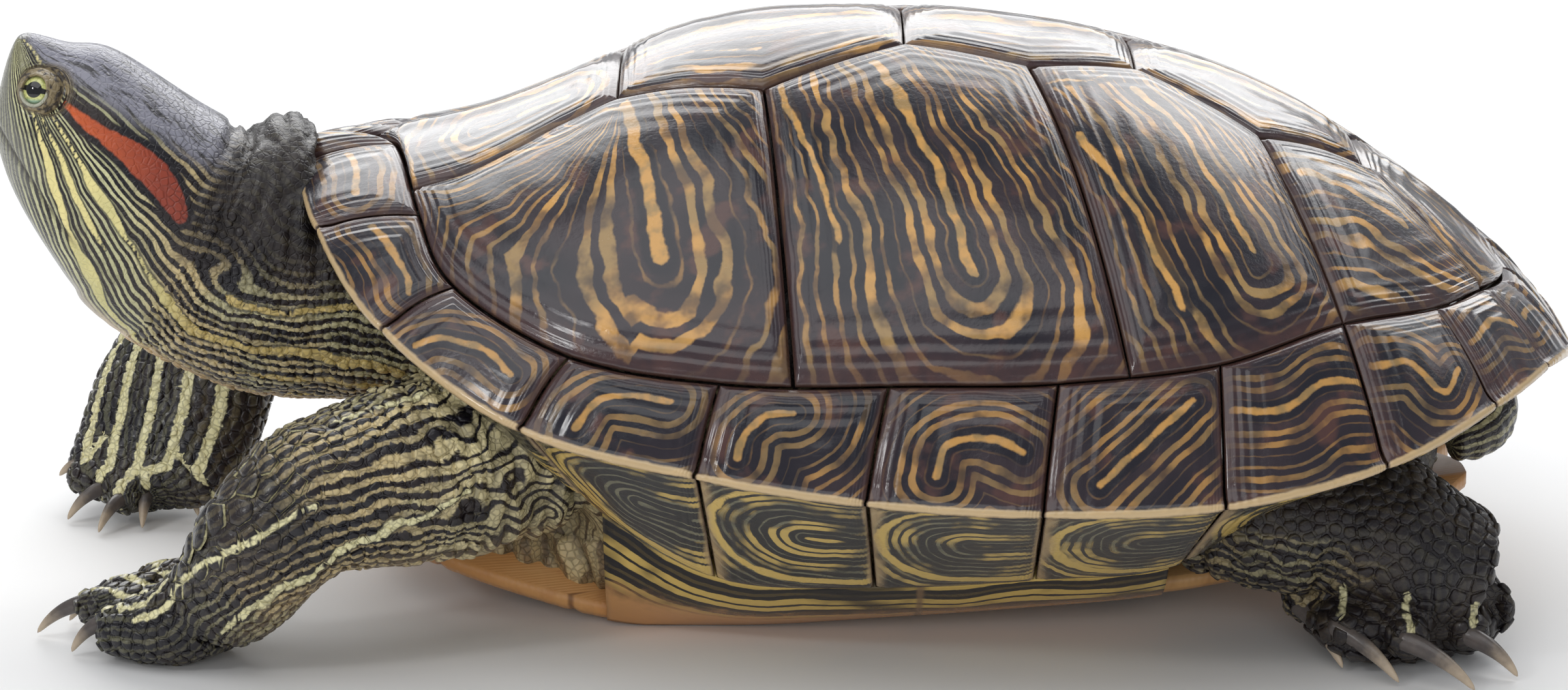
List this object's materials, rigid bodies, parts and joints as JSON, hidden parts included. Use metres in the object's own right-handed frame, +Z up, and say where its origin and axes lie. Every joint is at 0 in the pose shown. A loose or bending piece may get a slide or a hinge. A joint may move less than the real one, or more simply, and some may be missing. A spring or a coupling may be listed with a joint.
{
  "type": "red-eared slider turtle",
  "caption": "Life-size still model of a slider turtle resting on its plastron, head raised, legs spread on the floor; for display and scene dressing.",
  "frame": {"origin": "on the flat of the plastron where it rests on the floor, under the front part of the carapace", "axes": "the head points along -X, the animal's left side faces -Y, +Z is up"},
  "size_m": [0.3087, 0.188, 0.112],
  "materials": {
    "carapace": "dark slate horn with ochre lines, glossy",
    "marginal": "dark horn with ochre whorls and a pale orange edge, glossy",
    "plastron": "orange-tan horn, satin",
    "skin": "charcoal scaly skin with pale yellow-green stripes",
    "claw": "grey-brown horn with pale tips",
    "eye": "wet, pale yellow-green iris with a black pupil and bar"
  },
  "bodies": {
    "root": {"vertebral_1": "carapace", "vertebral_2": "carapace", "vertebral_3": "carapace", "vertebral_4": "carapace", "vertebral_5": "carapace", "costal_left_1": "carapace", "costal_right_1": "carapace", "costal_left_2": "carapace", "costal_right_2": "carapace", "costal_left_3": "carapace", "costal_right_3": "carapace", "costal_left_4": "carapace", "costal_right_4": "carapace", "nuchal_scute": "marginal", "marginals_left": "marginal", "marginals_right": "marginal", "plastron": "plastron", "bridge_left": "plastron", "bridge_right": "plastron", "trunk": "skin", "neck": "skin", "head": "skin", "lower_jaw": "skin", "eye_left": "eye", "eye_right": "eye", "upper_arm_left": "skin", "forearm_left": "skin", "hand_left": "skin", "claw_front_left_1": "claw", "claw_front_left_2": "claw", "claw_front_left_3": "claw", "claw_front_left_4": "claw", "claw_front_left_5": "claw", "upper_arm_right": "skin", "forearm_right": "skin", "hand_right": "skin", "claw_front_right_1": "claw", "claw_front_right_2": "claw", "claw_front_right_3": "claw", "claw_front_right_4": "claw", "claw_front_right_5": "claw", "thigh_left": "skin", "shank_left": "skin", "foot_left": "skin", "claw_hind_left_1": "claw", "claw_hind_left_2": "claw", "claw_hind_left_3": "claw", "claw_hind_left_4": "claw", "thigh_right": "skin", "shank_right": "skin", "foot_right": "skin", "claw_hind_right_1": "claw", "claw_hind_right_2": "claw", "claw_hind_right_3": "claw", "claw_hind_right_4": "claw", "tail": "skin"}
  },
  "joints": []
}
